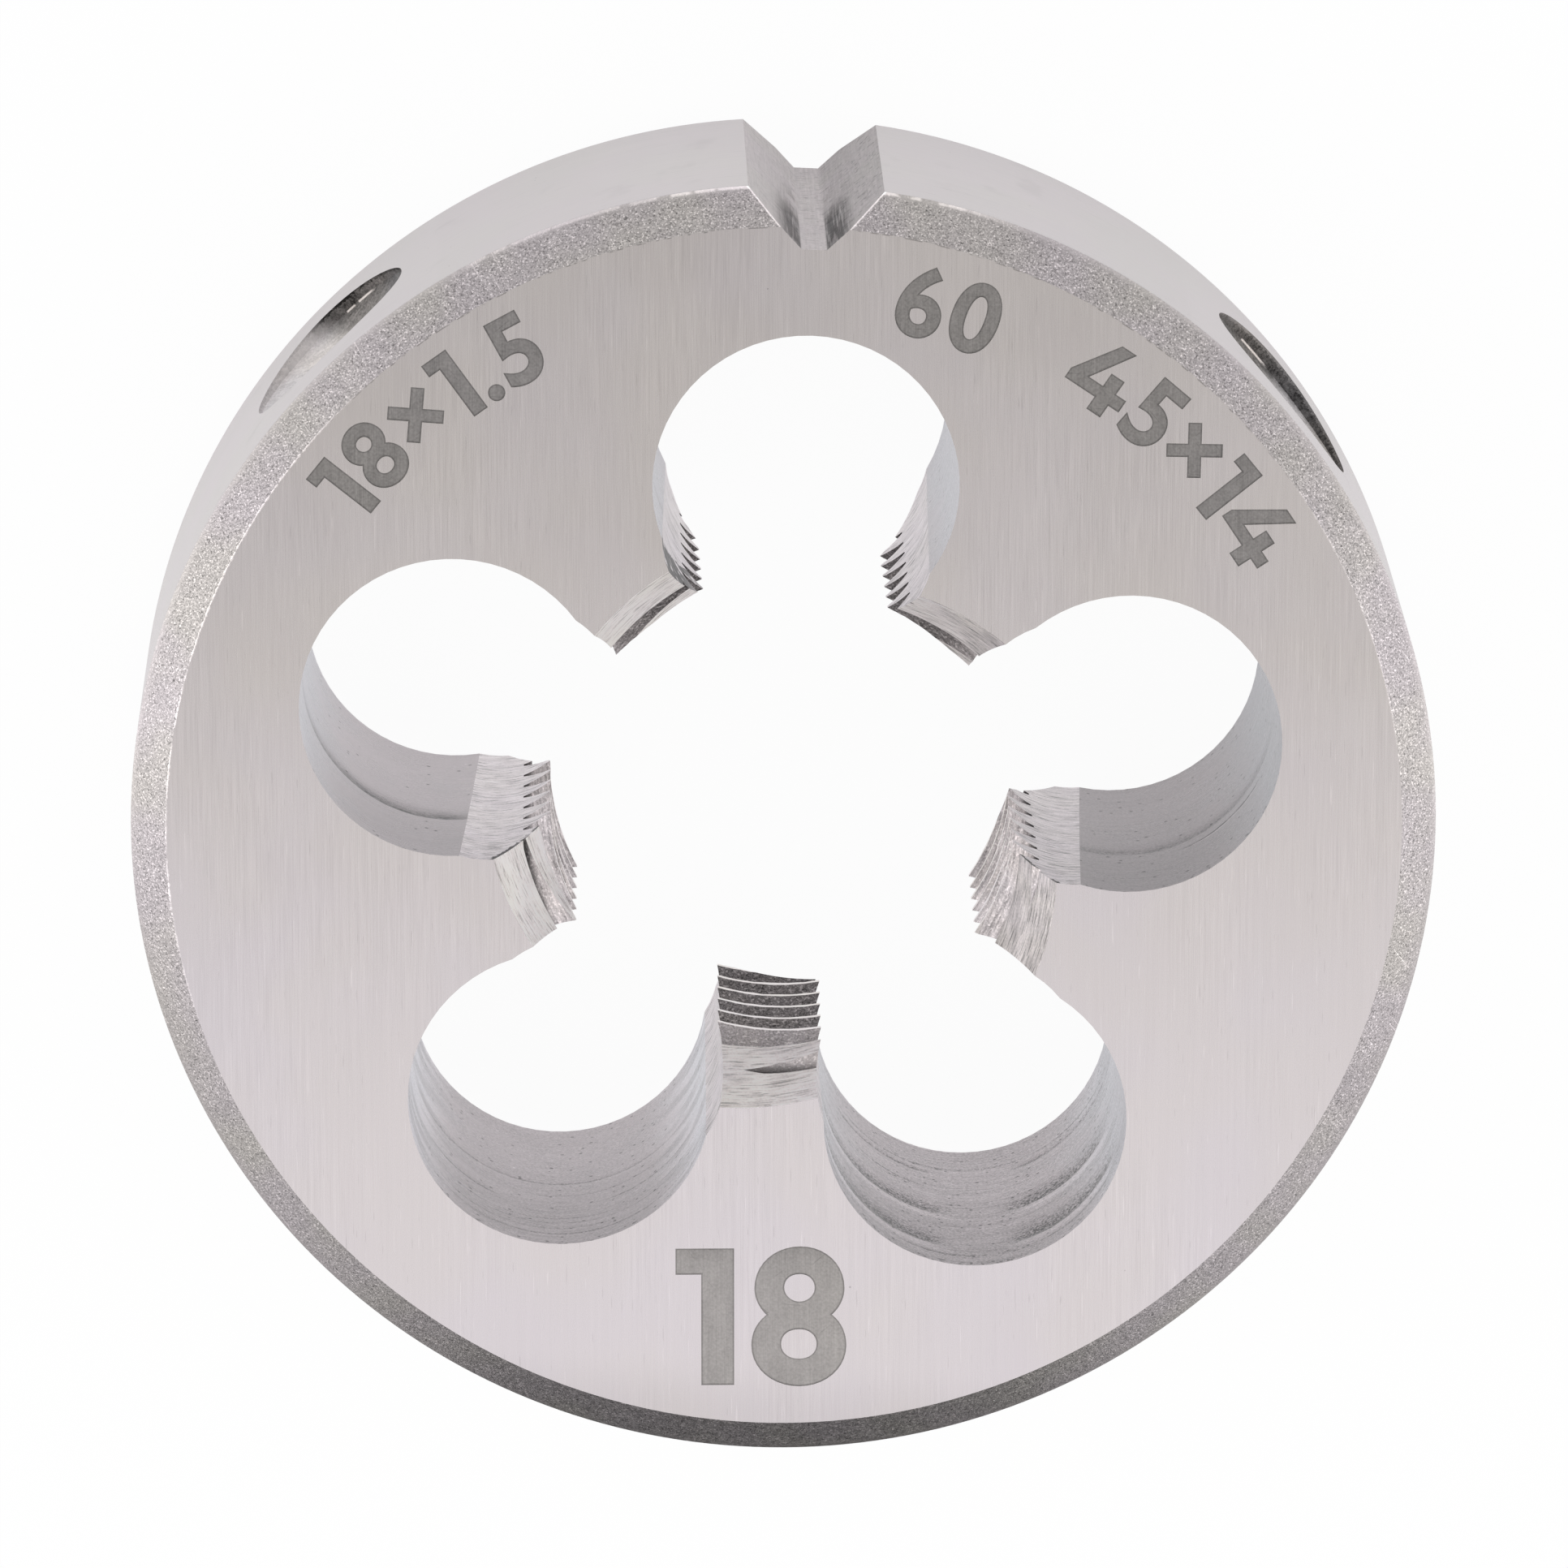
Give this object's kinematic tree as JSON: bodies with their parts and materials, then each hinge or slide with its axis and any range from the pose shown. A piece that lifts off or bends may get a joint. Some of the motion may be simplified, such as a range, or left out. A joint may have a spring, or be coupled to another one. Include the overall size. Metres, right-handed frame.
{
  "type": "round threading die",
  "caption": "Solid round threading die with a toothed bore opened by round chip holes, a lead-in on each face, a V notch and clamp-screw dimples in the rim.",
  "frame": {"origin": "centre of the rear face, on the axis of the thread", "axes": "+Z along the thread's axis and out of the front face, +Y towards the V notch, +X to the right as seen from the front"},
  "size_m": [0.045, 0.0449, 0.014],
  "materials": {
    "tool_steel": "ground faces and rim, grit-blasted chamfer"
  },
  "bodies": {
    "root": {"threading_die": "tool_steel"}
  },
  "joints": []
}
